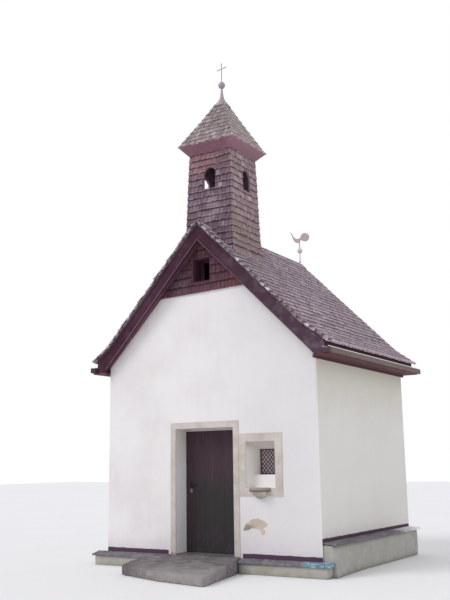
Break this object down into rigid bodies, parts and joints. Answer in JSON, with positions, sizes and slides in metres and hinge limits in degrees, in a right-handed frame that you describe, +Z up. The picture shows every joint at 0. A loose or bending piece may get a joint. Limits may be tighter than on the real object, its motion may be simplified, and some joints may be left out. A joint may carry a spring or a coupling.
{
  "type": "small chapel",
  "caption": "Small plastered wayside chapel with a steep shingled gable roof, a shingled ridge turret and a weathercock; the door and the weathercock move.",
  "frame": {"origin": "middle of the wall footprint, on the ground", "axes": "+Z up, -Y out of the front door, +X to the right seen from the door"},
  "size_m": [4.71, 5.507, 8.9839],
  "materials": {
    "white_plaster": "smooth lime plaster, painted white",
    "plinth_plaster": "coarse cream plaster, weathered",
    "beige_render": "fine beige render",
    "ledge_slab": "dark cement slab",
    "landing_stone": "rough grey concrete",
    "floor_stone": "worn stone floor",
    "roof_timber": "sawn larch",
    "dark_timber": "dark stained board",
    "gutter_timber": "dark stained log",
    "roof_shingle": "weathered larch shingle",
    "turret_shingle": "weathered larch shingle",
    "turret_roof_shingle": "weathered larch shingle",
    "gable_shingle": "red-brown larch shingle",
    "hatch_timber": "dark brown board",
    "red_timber": "dark red painted board",
    "door_timber": "dark stained planks",
    "handle_iron": "worn dark iron",
    "black_iron": "forged, oiled",
    "finial_metal": "weathered grey paint",
    "cock_sheet": "weathered sheet",
    "bowl_stone": "worn limestone"
  },
  "bodies": {
    "chapel": {"barge_front_left": "dark_timber", "barge_front_right": "dark_timber", "barge_rear_left": "dark_timber", "barge_rear_right": "dark_timber", "cross": "finial_metal", "door_frame": "door_timber", "door_surround": "beige_render", "eave_boards": "dark_timber", "finial": "finial_metal", "floor_slab": "floor_stone", "front_gable_wall": "white_plaster", "front_wall_left": "white_plaster", "front_wall_right": "white_plaster", "gable_shingles_front": "gable_shingle", "gable_shingles_rear": "gable_shingle", "gutter_left": "gutter_timber", "gutter_right": "gutter_timber", "hatch_frame": "hatch_timber", "hinge_pins": "black_iron", "holy_water_bowl": "bowl_stone", "landing": "landing_stone", "ledge_front": "ledge_slab", "ledge_sides": "ledge_slab", "left_wall": "white_plaster", "plinth_front": "plinth_plaster", "plinth_sides": "plinth_plaster", "rafters_left": "roof_timber", "rafters_right": "roof_timber", "rear_wall": "white_plaster", "ridge_cap": "roof_shingle", "right_wall": "white_plaster", "roof_boards_left": "roof_timber", "roof_boards_right": "roof_timber", "roof_shingles_left": "roof_shingle", "roof_shingles_right": "roof_shingle", "turret_eave_boards": "red_timber", "turret_roof": "turret_roof_shingle", "turret_wall_front": "turret_shingle", "turret_wall_left": "turret_shingle", "turret_wall_rear": "turret_shingle", "turret_wall_right": "turret_shingle", "wall_plates": "roof_timber", "weathercock_pole": "finial_metal", "window_lattice": "black_iron", "window_surround": "beige_render"},
    "front_door": {"door_leaf": "door_timber", "door_handles": "handle_iron", "hinge_straps": "black_iron"},
    "weathercock": {"weathercock": "cock_sheet"}
  },
  "joints": [
    {"name": "front_door_hinge", "type": "hinge", "parent": "chapel", "child": "front_door", "pos_m": [0.543, -1.447, 1.205], "axis": [0, 0, -1], "range_deg": [0, 95]},
    {"name": "weathercock_spin", "type": "hinge", "parent": "chapel", "child": "weathercock", "pos_m": [0, 1.8, 6.15], "axis": [0, 0, 1], "continuous": true}
  ]
}
